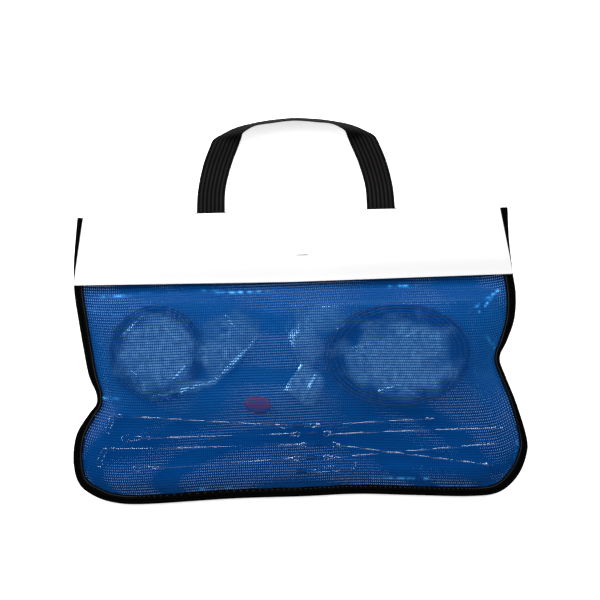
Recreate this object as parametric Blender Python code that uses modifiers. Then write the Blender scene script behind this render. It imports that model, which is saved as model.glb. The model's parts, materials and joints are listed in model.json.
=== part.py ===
"""A flat mesh carry bag with a header card over its mouth, packed with a wire boom rig set.

The bag lies on its back, mouth and handle toward +Y, card side up. Metres, +Z up.
The origin is on the floor under the bag's middle, on the underside of the lower panel.
"""
import math

import bmesh
import bpy
from mathutils import Vector

MM = 0.001
GAP = 0.3 * MM

# Cloth and tape
PANEL_THICK = 0.8 * MM
TAPE_THICK = 0.7 * MM
PANEL_INSET = 3.0 * MM          # panel's edge, inside the fold of the binding

# The binding's outer edge, going down the left side, along the bottom and up the right,
# as x, y and the binding's width there. It turns on edge where the sides are pinched.
LEFT_EDGE = [
    (-197, 133, 8.5), (-201, 95, 8.5), (-201.5, 67, 8.5), (-198.5, 42, 8.5), (-194, 12, 8.0),
    (-190, -10, 7.5), (-184, -25, 5.5), (-184, -35, 5.0), (-191, -44, 6.0), (-202.5, -62, 8.0),
    (-206, -85, 8.5),
]
BOTTOM_EDGE = [
    (-202, -105, 8.5), (-190, -116.5, 9.0), (-170, -124, 8.5), (-140, -126, 8.5),
    (-64, -123, 8.5), (0, -122.5, 8.5), (49, -121.5, 8.5), (101, -124, 8.5), (150, -126, 8.5),
    (176, -123, 8.5), (193, -109, 9.0),
]
RIGHT_EDGE = [
    (201.5, -90, 8.0), (202, -74, 7.0), (193, -42, 5.2), (184, -18, 5.0), (179.5, -2, 5.0),
    (186.5, 13, 6.5), (193.5, 32, 8.0), (195.5, 54, 8.5), (193, 76, 8.5), (190.5, 105, 8.5),
    (190, 133, 8.5),
]
SPLINE_STEPS = 3                # points drawn between two points of an edge

# Heights of the stack at the bag's edge, as middles of each layer
SEAM_GAP = 0.55 * MM
BINDING_LOW = 0.5 * TAPE_THICK + 0.02 * MM
LOWER_PANEL_EDGE = TAPE_THICK + SEAM_GAP + 0.5 * PANEL_THICK
UPPER_PANEL_EDGE = LOWER_PANEL_EDGE + PANEL_THICK + GAP
BINDING_HIGH = UPPER_PANEL_EDGE + 0.5 * PANEL_THICK + SEAM_GAP + 0.5 * TAPE_THICK
LOWER_PANEL_FLAT = 0.5 * PANEL_THICK

# The crown of the upper panel
CROWN_INSETS = [3, 12, 17.5, 22.5]            # from the bag's edge, mm
CROWN_HEIGHTS = [0.0, 0.0, 7.2, 8.4]        # over the panel's edge, mm
CROWN_TOP_Y = 62 * MM                       # the crown starts just below the card

# Card
CARD_THICK = 0.5 * MM
CARD_LIFT = CARD_THICK + GAP                # how far the bag is lifted by the card under it
LIFT_START = 60 * MM
CARD_FOLD_Y = 134.5 * MM
CARD_UPPER_END_Y = (72, 70.5, 73)           # lower edge of the upper flap: left, middle, right, mm
CARD_LOWER_END_Y = 76 * MM
CARD_TOP_X = (-191.5, 182.6)                # ends of the fold, mm
CARD_END_X = (-201.8, 193.1)                # ends of the lower edge, mm
CARD_SLOT_WIDTH = 30 * MM
STAPLE_MIDDLE = (4.3 * MM, 95 * MM)
STAPLE_HALF = 5.2 * MM
STAPLE_WIRE = 0.6 * MM
STAPLE_LEG = 1.6 * MM                       # below the crown; it stops short of the bag
STAPLE_HOLE = 0.65 * MM                     # radius

# Handle
STRAP_WIDTH = 25.4 * MM
STRAP_THICK = 1.4 * MM
TAB_LENGTH = 46 * MM
TAB_X = (-76.8, 75.9)
HINGE_Y = 136.4 * MM
# Middle line of the left half of the arch: x, y, z in mm, and the strap's roll in degrees
ARCH_HALF = [
    (-76.8, 0.3, 0.0, 0), (-73.5, 18, -1.8, 0), (-69.5, 36, -3.0, 2), (-65.8, 50, -2.5, 8),
    (-62.5, 60.5, 1.0, 24), (-56, 69, 5.5, 52), (-45, 74, 7.6, 74), (-28, 76.8, 7.8, 81),
    (0, 78.2, 7.8, 82),
]

# Coils
LEFT_COIL_MIDDLE = (-128, 10.5)
LEFT_COIL_HALF = (43.0, 43.5)               # outermost turn's middle line, mm
LEFT_LINE = 1.5 * MM
LEFT_PITCH = (2.6, 2.6, 1.95)               # across, along and up, mm
RIGHT_COIL_MIDDLE = (88.5, 3)
RIGHT_COIL_HALF = (66.0, 46.0)
RIGHT_CORD = 1.8 * MM
RIGHT_PITCH = (4.6, 2.35, 2.25)
LOOPS_PER_LAYER = 4
COIL_POINTS = 16
LEFT_COIL_TURN = 0.4                        # where each coil's line starts, in turns
RIGHT_COIL_TURN = 0.75

# Clear bags: corner points from the top left, clockwise, mm
LEFT_POLYBAG = [(-181, 59), (-40, 56), (-46, -28), (-166, -41)]
RIGHT_POLYBAG = [(-13, 51.5), (159.5, 52), (159.5, -49), (0, -46)]
FILM = 0.25 * MM
FILM_SEAM_Z = 1.75 * MM
FILM_FLAT_Z = 1.1 * MM

# Wire booms
WIRE = 1.6 * MM
WIRE_Z = 4.4 * MM
EYE_RADIUS = 2.3 * MM
NECK = 3.5 * MM                             # from an eye's centre to its first wrap
WRAP_RADIUS = 2.0 * MM
WRAP_PITCH = 2.0 * MM
WRAP_TURNS = 1.5
WRAP_POINTS = 8                             # points on one turn
SWIVEL_SPAN = 26 * MM                       # between the two boom eyes that a swivel joins
# middle of each swivel, left boom's outer eye, right boom's outer eye, mm
RIGS = [
    ((-3, -58.8), (-167, -45.7), (118, -55.5)),
    ((9, -66.5), (-143, -66.7), (179, -65.2)),
    ((15, -76.5), (-175, -75.9), (170, -98.5)),
    ((8, -88.2), (-133, -94), (171, -79.5)),
]
HUMP_RIG = 2                                # its right boom passes over the next one
HUMP_AT = 81 * MM
HUMP_RISE = 2.3 * MM
HUMP_HALF = 26 * MM

# Swivels
RING_RADIUS = 2.2 * MM
RING_WIRE = 1.0 * MM
LINK = 2.4 * MM                             # ring's centre from the boom eye's centre
BARREL_LENGTH = 10 * MM
BARREL_RADIUS = 2.4 * MM
BARREL_WALL = 0.7 * MM
DROP_SWIVEL = (-1, -100)

# Snaps: boom end, heading in degrees
SNAP_HEADINGS = [-108, 180, -112, 180]
SNAP_LENGTH = 17 * MM
SNAP_HALF = 2.9 * MM
SNAP_WIRE = 1.0 * MM
LONG_SNAP_LENGTH = 37 * MM
LONG_SNAP_HALF = 3.6 * MM

FLOAT_MIDDLE = (-39, -39)
FLOAT_SIZE = (27, 16.5, 7.0)


def clear_scene():
    for item in list(bpy.data.objects):
        bpy.data.objects.remove(item, do_unlink=True)


clear_scene()
parts = bpy.data.collections.new("mesh_bag_rig_set")
cutters = bpy.data.collections.new("cutters")
bpy.context.scene.collection.children.link(parts)
bpy.context.scene.collection.children.link(cutters)


def material(name, colour, roughness, metallic=0.0):
    finish = bpy.data.materials.new(name)
    finish.use_nodes = True
    shader = finish.node_tree.nodes["Principled BSDF"]
    shader.inputs["Base Color"].default_value = (*colour, 1)
    shader.inputs["Roughness"].default_value = roughness
    shader.inputs["Metallic"].default_value = metallic
    return finish


MESH_BLUE = material("blue_coated_mesh", (0.01, 0.08, 0.3), 0.35)
TAPE_BLACK = material("black_tape", (0.012, 0.012, 0.013), 0.85)
CARD_WHITE = material("white_card", (0.9, 0.9, 0.9), 0.5)
FILM_CLEAR = material("clear_film", (0.7, 0.75, 0.8), 0.15)
LINE_GREY = material("grey_line", (0.25, 0.3, 0.35), 0.3)
CORD_DARK = material("dark_cord", (0.02, 0.03, 0.05), 0.6)
STEEL = material("bright_steel", (0.6, 0.6, 0.6), 0.25, 1.0)
BLACK_BRASS = material("blackened_brass", (0.03, 0.03, 0.03), 0.3, 1.0)
FLOAT_RED = material("red_float", (0.5, 0.03, 0.05), 0.5)


# ---------------------------------------------------------------- shared tools

def finish_object(item, finish, smooth_angle=40):
    """Puts an object in the part's collection, with its material and shading."""
    for holder in list(item.users_collection):
        holder.objects.unlink(item)
    parts.objects.link(item)
    item.data.materials.append(finish)
    if item.type == "MESH":
        item.data.shade_smooth()
        item.data.set_sharp_from_angle(angle=math.radians(smooth_angle))
    return item


def sheet(name, columns, rows, place, finish, thickness, offset=0.0):
    """A grid shaped by place(u, v), both from 0 to 1, and given its thickness."""
    work = bmesh.new()
    bmesh.ops.create_grid(work, x_segments=columns, y_segments=rows, size=1)
    for vert in work.verts:
        vert.co = Vector(place((vert.co.x + 1) / 2, (vert.co.y + 1) / 2))
    mesh = bpy.data.meshes.new(name)
    work.to_mesh(mesh)
    work.free()
    item = finish_object(bpy.data.objects.new(name, mesh), finish)
    wall = item.modifiers.new("thickness", "SOLIDIFY")
    wall.thickness = thickness
    wall.offset = offset
    wall.use_even_offset = True
    return item


def tube(name, points, diameter, finish, sides=1, scales=None):
    """A round wire along points, with closed ends. scales widens it point by point."""
    curve = bpy.data.curves.new(name, "CURVE")
    curve.dimensions = "3D"
    curve.bevel_depth = diameter / 2
    curve.bevel_resolution = sides
    curve.use_fill_caps = True
    run = curve.splines.new("POLY")
    run.points.add(len(points) - 1)
    for index, (spot, point) in enumerate(zip(run.points, points)):
        spot.co = (*point, 1)
        spot.radius = scales[index] if scales else 1.0
    return finish_object(bpy.data.objects.new(name, curve), finish)


def turned(name, profile, steps, finish):
    """A profile of (radius, height) turned about Z, running down its outer side."""
    mesh = bpy.data.meshes.new(name)
    edges = [(i, (i + 1) % len(profile)) for i in range(len(profile))]
    mesh.from_pydata([(radius, 0, height) for radius, height in profile], edges, [])
    item = finish_object(bpy.data.objects.new(name, mesh), finish)
    screw = item.modifiers.new("turn", "SCREW")
    screw.steps = steps
    screw.render_steps = steps
    screw.use_merge_vertices = True
    screw.merge_threshold = 0.00001
    return item


def smooth_run(points, steps=SPLINE_STEPS):
    """Catmull-Rom points through an open run of tuples of any length."""
    run = []
    last = len(points) - 1
    for i in range(last):
        a, b = points[max(i - 1, 0)], points[i]
        c, d = points[i + 1], points[min(i + 2, last)]
        for k in range(steps):
            t = k / steps
            run.append(tuple(
                0.5 * (2 * q + (r - p) * t + (2 * p - 5 * q + 4 * r - s) * t * t
                       + (3 * q - p - 3 * r + s) * t ** 3)
                for p, q, r, s in zip(a, b, c, d)))
    run.append(tuple(points[-1]))
    return run


def ramp(value, low, high):
    t = min(max((value - low) / (high - low), 0), 1)
    return t * t * (3 - 2 * t)


def along(run, share):
    """The point a share of the way along a run, by index."""
    where = share * (len(run) - 1)
    i = min(int(where), len(run) - 2)
    return tuple(a + (b - a) * (where - i) for a, b in zip(run[i], run[i + 1]))


# ---------------------------------------------------------------- the bag

OUTLINE = [tuple(value * MM for value in point)
           for point in smooth_run(LEFT_EDGE + BOTTOM_EDGE + RIGHT_EDGE)]


def inward(index):
    """Unit vector from the outline's point towards the bag's inside."""
    before = OUTLINE[max(index - 1, 0)]
    after = OUTLINE[min(index + 1, len(OUTLINE) - 1)]
    run = Vector((after[0] - before[0], after[1] - before[1]))
    return Vector((-run.y, run.x)).normalized()


def inset_outline(inset):
    return [(point[0] + inward(i).x * inset, point[1] + inward(i).y * inset)
            for i, point in enumerate(OUTLINE)]


PANEL_LINE = inset_outline(PANEL_INSET)
LEFT_STOP = (len(LEFT_EDGE) + 1) * SPLINE_STEPS
RIGHT_START = (len(LEFT_EDGE) + len(BOTTOM_EDGE) - 1) * SPLINE_STEPS
PANEL_LEFT = PANEL_LINE[:LEFT_STOP + 1][::-1]
PANEL_BOTTOM = PANEL_LINE[LEFT_STOP:RIGHT_START + 1]
PANEL_RIGHT = PANEL_LINE[RIGHT_START:]


def edge_distance(x, y):
    """Distance to the bag's outline, measured to its segments."""
    spot = Vector((x, y))
    least = 1.0
    for a, b in zip(OUTLINE, OUTLINE[1:]):
        start, run = Vector(a[:2]), Vector((b[0] - a[0], b[1] - a[1]))
        share = min(max((spot - start).dot(run) / run.length_squared, 0), 1)
        least = min(least, (spot - start - run * share).length)
    return least


def lift(y):
    """The card's lower flap lies under the bag and lifts its top."""
    return CARD_LIFT * min(max((y - LIFT_START) / (CARD_LOWER_END_Y - 3 * MM - LIFT_START), 0), 1)


def on_run(run, axis, level):
    """The point where a run reaches a level of x (axis 0) or y (axis 1)."""
    for a, b in zip(run, run[1:]):
        if a[axis] <= level <= b[axis]:
            t = (level - a[axis]) / max(b[axis] - a[axis], 1e-9)
            return a[0] + (b[0] - a[0]) * t, a[1] + (b[1] - a[1]) * t
    return run[0] if level < run[0][axis] else run[-1]


def between(run, axis, share):
    return on_run(run, axis, run[0][axis] + (run[-1][axis] - run[0][axis]) * share)


def panel_xy(u, v):
    """A patch between the panel's left, bottom and right edges and its straight mouth."""
    left, right = between(PANEL_LEFT, 1, v), between(PANEL_RIGHT, 1, v)
    low = between(PANEL_BOTTOM, 0, u)
    top_left, top_right = PANEL_LEFT[-1], PANEL_RIGHT[-1]
    low_left, low_right = PANEL_BOTTOM[0], PANEL_BOTTOM[-1]
    place = []
    for k in (0, 1):
        top = top_left[k] + (top_right[k] - top_left[k]) * u
        sides = left[k] * (1 - u) + right[k] * u
        ends = low[k] * (1 - v) + top * v
        corners = ((low_left[k] * (1 - u) + low_right[k] * u) * (1 - v)
                   + (top_left[k] * (1 - u) + top_right[k] * u) * v)
        place.append(sides + ends - corners)
    return place


def spread(near, far, count):
    """Shares for a grid's lines: fixed ones near both edges, and even ones between."""
    middle = [near[-1] + (far[0] - near[-1]) * i / (count + 1) for i in range(1, count + 1)]
    return near + middle + far


ACROSS_EDGE = [0, 0.022, 0.038, 0.054]               # lines where the crown rises
ALONG_EDGE = [0, 0.03, 0.054, 0.078]
ALONG_MOUTH = [0.66, 0.698, 0.725, 0.755, 0.88, 1]  # lines where the bag goes under the card


def panel_lines(across, along_count):
    far = [1 - share for share in reversed(ACROSS_EDGE)]
    return spread(ACROSS_EDGE, far, across), spread(ALONG_EDGE, ALONG_MOUTH, along_count)


LOWER_PANEL_LINES = panel_lines(4, 8)
UPPER_PANEL_LINES = panel_lines(13, 8)


def line_at(share, lines):
    return lines[round(share * (len(lines) - 1))]


def crown(x, y):
    """Height of the upper panel over its edge, from the stuff packed under it."""
    depth = min(edge_distance(x, y), CROWN_TOP_Y - y + 10 * MM) / MM
    height = 0.0
    if depth > CROWN_INSETS[0]:
        height = CROWN_HEIGHTS[-1]
        for i in range(len(CROWN_INSETS) - 1):
            if CROWN_INSETS[i] <= depth < CROWN_INSETS[i + 1]:
                t = (depth - CROWN_INSETS[i]) / (CROWN_INSETS[i + 1] - CROWN_INSETS[i])
                height = CROWN_HEIGHTS[i] + (CROWN_HEIGHTS[i + 1] - CROWN_HEIGHTS[i]) * t
    reach = math.hypot((x / MM - RIGHT_COIL_MIDDLE[0]) / 104, (y / MM - RIGHT_COIL_MIDDLE[1]) / 84)
    over_coil = 2.6 * (1 - ramp(reach, 0.76, 1.0)) * ramp(depth, 14, 21)
    return (height + over_coil) * MM


def lower_panel_place(u, v):
    across, upward = LOWER_PANEL_LINES
    x, y = panel_xy(line_at(u, across), line_at(v, upward))
    sag = ramp(min(edge_distance(x, y), 74 * MM - y), 10 * MM, 18 * MM)
    height = LOWER_PANEL_EDGE + (LOWER_PANEL_FLAT - LOWER_PANEL_EDGE) * sag
    return x, y, height + lift(y)


def upper_panel_place(u, v):
    across, upward = UPPER_PANEL_LINES
    x, y = panel_xy(line_at(u, across), line_at(v, upward))
    return x, y, UPPER_PANEL_EDGE + crown(x, y) + lift(y)


def binding_place(u, v):
    """Tape folded over both edges: v runs over the lower leg, the fold and the upper leg."""
    index = min(round(u * (len(OUTLINE) - 1)), len(OUTLINE) - 1)
    x, y, width = OUTLINE[index]
    step = round(v * 4)
    inset = (width, 1.2 * MM, 0.5 * TAPE_THICK, 1.2 * MM, width)[step]
    middle = (BINDING_LOW + BINDING_HIGH) / 2
    height = (BINDING_LOW, BINDING_LOW, middle, BINDING_HIGH, BINDING_HIGH)[step]
    turn = inward(index)
    return x + turn.x * inset, y + turn.y * inset, height + lift(y)


def make_bag():
    for name, (across, upward), place in (
            ("lower_mesh_panel", LOWER_PANEL_LINES, lower_panel_place),
            ("upper_mesh_panel", UPPER_PANEL_LINES, upper_panel_place)):
        sheet(name, len(across) - 1, len(upward) - 1, place, MESH_BLUE, PANEL_THICK)
    sheet("edge_binding", len(OUTLINE) - 1, 4, binding_place, TAPE_BLACK, TAPE_THICK)
    tape_ends = (-184 * MM, 177 * MM)
    tape_low, tape_high = 117 * MM, 130 * MM
    levels = {
        "lower_mouth_tape": LOWER_PANEL_EDGE - 0.5 * PANEL_THICK - GAP - 0.5 * TAPE_THICK,
        "upper_mouth_tape": UPPER_PANEL_EDGE + 0.5 * PANEL_THICK + GAP + 0.5 * TAPE_THICK,
    }
    for name, height in levels.items():
        def tape_place(u, v, level=height):
            return (tape_ends[0] + (tape_ends[1] - tape_ends[0]) * u,
                    tape_low + (tape_high - tape_low) * v, level + CARD_LIFT)
        sheet(name, 6, 1, tape_place, TAPE_BLACK, TAPE_THICK)


# ---------------------------------------------------------------- card and handle

TAPE_TOP = UPPER_PANEL_EDGE + 0.5 * PANEL_THICK + GAP + TAPE_THICK + CARD_LIFT
TAB_Z = TAPE_TOP + GAP + 0.5 * STRAP_THICK
CARD_TOP_Z = TAB_Z + 0.5 * STRAP_THICK + GAP + 0.5 * CARD_THICK


def card_place(u, v):
    """Lower flap, fold and upper flap, flared a little toward both lower edges."""
    step = round(v * 12)
    low, high = 0.5 * CARD_THICK, CARD_TOP_Z
    fold = CARD_FOLD_Y - 1.5 * MM
    upper_end = along([(value * MM,) for value in CARD_UPPER_END_Y], u)[0]
    if step <= 4:
        flare = 1 - step / 4
        y, z = fold + (CARD_LOWER_END_Y - fold) * flare, low
    elif step <= 7:
        angle = math.pi * (step - 4) / 4 - math.pi / 2
        flare = 0
        y, z = fold + 1.5 * MM * math.cos(angle), (low + high) / 2 + (high - low) / 2 * math.sin(angle)
    else:
        flare = (step - 8) / 4
        y, z = fold + (upper_end - fold) * flare, high
    left = (CARD_TOP_X[0] + (CARD_END_X[0] - CARD_TOP_X[0]) * flare) * MM
    right = (CARD_TOP_X[1] + (CARD_END_X[1] - CARD_TOP_X[1]) * flare) * MM
    return left + (right - left) * u, y, z


def cut_card(card, cutter, name):
    """Hides a cutter in its own collection and takes it out of the card."""
    cutter.name = name
    cutter.hide_render = True
    cutter.display_type = "WIRE"
    for holder in list(cutter.users_collection):
        holder.objects.unlink(cutter)
    cutters.objects.link(cutter)
    card.modifiers.new(name, "BOOLEAN").object = cutter


def make_card():
    card = sheet("header_card", 10, 12, card_place, CARD_WHITE, CARD_THICK)
    for index, x in enumerate(TAB_X):
        bpy.ops.mesh.primitive_cube_add(size=1, location=(x * MM, CARD_FOLD_Y, TAB_Z))
        bpy.context.object.scale = (CARD_SLOT_WIDTH, 5 * MM, STRAP_THICK + 2 * GAP)
        cut_card(card, bpy.context.object, "slot_cutter_%d" % (index + 1))
    middle_x, y = STAPLE_MIDDLE
    top = CARD_TOP_Z + 0.5 * CARD_THICK + GAP + STAPLE_WIRE / 2
    for index, sign in enumerate((-1, 1)):
        bpy.ops.mesh.primitive_cylinder_add(vertices=10, radius=STAPLE_HOLE, depth=2 * MM,
                                            location=(middle_x + sign * STAPLE_HALF, y, CARD_TOP_Z))
        cut_card(card, bpy.context.object, "staple_hole_cutter_%d" % (index + 1))
    staple = []
    for sign in (-1, 1):
        leg = [(middle_x + sign * STAPLE_HALF, y, top - STAPLE_LEG),
               (middle_x + sign * STAPLE_HALF, y, top - 0.5 * MM),
               (middle_x + sign * (STAPLE_HALF - 0.5 * MM), y, top)]
        staple += leg if sign < 0 else leg[::-1]
    tube("card_staple", staple, STAPLE_WIRE, STEEL)


def arch_points():
    """The strap's middle line and roll, with the right half mirrored from the left."""
    other = [(TAB_X[0] + TAB_X[1] - x, y, z, roll) for x, y, z, roll in ARCH_HALF[:-1]]
    return smooth_run(ARCH_HALF + other[::-1], 2)


ARCH = arch_points()


def strap_place(u, v):
    index = round(u * (len(ARCH) - 1))
    x, y, z, roll = ARCH[index]
    before, after = ARCH[max(index - 1, 0)], ARCH[min(index + 1, len(ARCH) - 1)]
    run = Vector((after[0] - before[0], after[1] - before[1], after[2] - before[2])).normalized()
    if index in (0, len(ARCH) - 1):
        run = Vector((0, 1 if index == 0 else -1, 0))
    side = run.cross(Vector((0, 0, 1))).normalized()
    rise = side.cross(run).normalized()
    turn = math.radians(roll)
    across = side * math.cos(turn) + rise * math.sin(turn)
    middle = Vector((x * MM, HINGE_Y + y * MM, TAB_Z + z * MM))
    return middle + across * STRAP_WIDTH * (v - 0.5)


def make_handle():
    sheet("handle_strap", len(ARCH) - 1, 2, strap_place, TAPE_BLACK, STRAP_THICK)
    for name, x in zip(("handle_tab_left", "handle_tab_right"), TAB_X):
        def tab_place(u, v, middle=x * MM):
            return (middle + STRAP_WIDTH * (u - 0.5), HINGE_Y - GAP - TAB_LENGTH * (1 - v), TAB_Z)
        sheet(name, 2, 4, tab_place, TAPE_BLACK, STRAP_THICK)


# ---------------------------------------------------------------- coils and clear bags

def coil_points(middle, half, pitch, layers, start, base, from_inside):
    """One unbroken line: it spirals in and out at a steady rate, and climbs a layer in
    the half turn where the spiral reverses."""
    spiral = LOOPS_PER_LAYER - 0.5
    total = layers * LOOPS_PER_LAYER
    points = []
    for step in range(total * COIL_POINTS + 1 - COIL_POINTS // 2):
        turns = step / COIL_POINTS
        layer, within = divmod(turns, LOOPS_PER_LAYER)
        reach = min(within, spiral)
        climb = max(within - spiral, 0) / 0.5
        goes_in = (int(layer) % 2 == 0) != from_inside
        shift = reach if goes_in else spiral - reach
        angle = 2 * math.pi * (turns + start)
        points.append((
            (middle[0] + (half[0] - shift * pitch[0]) * math.cos(angle)) * MM,
            (middle[1] + (half[1] - shift * pitch[1]) * math.sin(angle)) * MM,
            base + (layer + climb) * pitch[2] * MM))
    return points


def least_gap(points, diameter, skip):
    """The least gap between turns, measured on points along the line."""
    fine = []
    for a, b in zip(points, points[1:]):
        fine += [Vector(a).lerp(Vector(b), k / 3) for k in range(3)]
    skip *= 3
    return min((fine[i] - fine[j]).length for i in range(0, len(fine), 2)
               for j in range(i + skip, len(fine))) - diameter


FILM_TOP = FILM_FLAT_Z + FILM
COIL_FLOOR = FILM_TOP + GAP

LEFT_COIL = coil_points(LEFT_COIL_MIDDLE, LEFT_COIL_HALF, LEFT_PITCH, 2, LEFT_COIL_TURN,
                        COIL_FLOOR + LEFT_LINE / 2, False)
RIGHT_COIL = coil_points(RIGHT_COIL_MIDDLE, RIGHT_COIL_HALF, RIGHT_PITCH, 4, RIGHT_COIL_TURN,
                         COIL_FLOOR + RIGHT_CORD / 2, True)
LEFT_COIL_TOP = COIL_FLOOR + LEFT_LINE + LEFT_PITCH[2] * MM
RIGHT_COIL_TOP = COIL_FLOOR + RIGHT_CORD + 3 * RIGHT_PITCH[2] * MM

# The right cord's loose end: places inside the coil, and drops from the coil's end, mm
TAIL_ROUTE = [
    (82, 39.2, 0), (75, 36, -0.6), (67.5, 32, -2.2), (60.5, 27.5, -4.2), (63.5, 22, -5.3),
    (72, 19, -5.6), (73.5, 15, -5.6), (66, 15.5, -5.6), (58.5, 16, -5.6), (57.5, 11, -5.6),
    (64.5, 8, -5.6), (62, 3.5, -5.6), (53, 2.5, -5.6), (46, 1, -5.6),
]


def make_coils():
    tube("left_line_coil", LEFT_COIL, LEFT_LINE, LINE_GREY)
    tube("right_cord_coil", RIGHT_COIL, RIGHT_CORD, CORD_DARK)
    print("left coil's least gap, mm:", round(least_gap(LEFT_COIL, LEFT_LINE, 9) / MM, 2))
    print("right coil's least gap, mm:", round(least_gap(RIGHT_COIL, RIGHT_CORD, 9) / MM, 2))
    end, before = Vector(RIGHT_COIL[-1]), Vector(RIGHT_COIL[-2])
    heading = (end - before).normalized()
    start = end + heading * GAP
    route = [tuple(start / MM), tuple((start + heading * RIGHT_CORD) / MM)]
    route += [(x, y, start.z / MM + drop) for x, y, drop in TAIL_ROUTE]
    tail = [tuple(value * MM for value in point) for point in smooth_run(route, 2)]
    tube("right_cord_tail", tail, RIGHT_CORD, CORD_DARK)


FILM_LINES = spread([0, 0.022], [0.978, 1], 6), spread([0, 0.022], [0.978, 1], 4)


def make_polybag(name, corners, mouth_right, coil_middle, coil_half, top):
    """Two films sealed on three sides and open at the fourth, crowned over the coil."""
    work = bmesh.new()
    for upper in (False, True):
        made = bmesh.ops.create_grid(work, x_segments=len(FILM_LINES[0]) - 1,
                                     y_segments=len(FILM_LINES[1]) - 1, size=1)["verts"]
        for vert in made:
            u = line_at((vert.co.x + 1) / 2, FILM_LINES[0])
            v = line_at((vert.co.y + 1) / 2, FILM_LINES[1])
            a, b, c, d = corners
            x = ((d[0] * (1 - u) + c[0] * u) * (1 - v) + (a[0] * (1 - u) + b[0] * u) * v)
            y = ((d[1] * (1 - u) + c[1] * u) * (1 - v) + (a[1] * (1 - u) + b[1] * u) * v)
            sealed = min(u if mouth_right else 1 - u, v, 1 - v)
            reach = math.hypot((x - coil_middle[0]) / (coil_half[0] + 6),
                               (y - coil_middle[1]) / (coil_half[1] + 6))
            z = FILM_SEAM_Z
            if sealed > 0.01 and upper:
                rise = 1 - ramp(reach, 1.25, 1.55)
                z = FILM_SEAM_Z + 0.5 * MM + (top + GAP - FILM_SEAM_Z) * rise
            elif sealed > 0.01:
                z = FILM_FLAT_Z + FILM
            vert.co = (x * MM, y * MM, z)
        if not upper:
            bmesh.ops.reverse_faces(work, faces=work.faces[:])
    bmesh.ops.remove_doubles(work, verts=work.verts[:], dist=0.02 * MM)
    mesh = bpy.data.meshes.new(name)
    work.to_mesh(mesh)
    work.free()
    item = finish_object(bpy.data.objects.new(name, mesh), FILM_CLEAR)
    wall = item.modifiers.new("film", "SOLIDIFY")
    wall.thickness = FILM
    wall.offset = 1.0
    return item


# ---------------------------------------------------------------- booms, swivels, snaps

def eye_run(flat):
    """From the end of the wraps to the neck: the wire's tail is wound round the straight
    wire, which lies along +X, then goes round the eye. The eye lies flat or stands."""
    points = []
    steps = int(WRAP_TURNS * WRAP_POINTS)
    for step in range(steps + 1):
        turns = step / WRAP_POINTS
        angle = 2 * math.pi * turns
        x = NECK + WRAP_PITCH * (WRAP_TURNS - turns)
        side, up = -WRAP_RADIUS * math.cos(angle), WRAP_RADIUS * math.sin(angle)
        points.append((x, side, up))
    ways = 7
    first = math.radians(40)
    sign = 1 if points[-1][1] > 0 else -1
    for step in range(ways + 1):
        angle = first + (2 * math.pi - 2 * first) * step / ways
        points.append((EYE_RADIUS * math.cos(angle), sign * EYE_RADIUS * math.sin(angle), 0))
    points.append((NECK + 0.4 * MM, 0, 0))
    if flat:
        return points
    return [(x, -up, side) for x, side, up in points]


def boom_points(inner, outer, humped):
    """Inner eye flat, outer eye standing, both wound; a hump carries it over another."""
    start, end = Vector((*inner, WIRE_Z / MM)) * MM, Vector((*outer, WIRE_Z / MM)) * MM
    heading = (end - start).normalized()
    side = Vector((0, 0, 1)).cross(heading)
    up = Vector((0, 0, 1))
    inside = [start + heading * x + side * y + up * z for x, y, z in eye_run(True)]
    outside = [end - heading * x + side * y + up * z for x, y, z in eye_run(False)]
    middle = []
    if humped:
        for step in range(-4, 5):
            x = HUMP_AT + step * HUMP_HALF / 4
            share = (x - start.x) / (end.x - start.x)
            rise = HUMP_RISE * (0.5 + 0.5 * math.cos(math.pi * step / 4))
            middle.append(start.lerp(end, share) + up * rise)
    return inside + middle + outside[::-1]


def rig_frame(index):
    middle, left, right = RIGS[index]
    half = SWIVEL_SPAN / MM / 2
    return ((middle[0] - half, middle[1]), (middle[0] + half, middle[1]), middle, left, right)


def make_booms():
    for index in range(len(RIGS)):
        left_eye, right_eye, _, left, right = rig_frame(index)
        for side, inner, outer in (("left", left_eye, left), ("right", right_eye, right)):
            humped = index == HUMP_RIG and side == "right"
            tube("boom_%d_%s" % (index + 1, side), boom_points(inner, outer, humped), WIRE, STEEL)


def swivel_eye_points(ring_x, head_x):
    """A headed stem inside the barrel, and a standing ring outside it, along X."""
    sign = 1 if ring_x > head_x else -1
    points = [(head_x, 0), (head_x + sign * 1.0 * MM, 0), (head_x + sign * 1.1 * MM, 0)]
    scales = [2.3, 2.3, 1.0]
    neck = ring_x - sign * (RING_RADIUS + 0.7 * MM)
    points.append((neck, 0))
    scales.append(1.0)
    first = math.radians(35)
    for step in range(9):
        angle = math.pi + first + (2 * math.pi - 1.9 * first) * step / 8
        points.append((ring_x + sign * RING_RADIUS * math.cos(angle), RING_RADIUS * math.sin(angle)))
        scales.append(1.0)
    return points, scales


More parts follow.
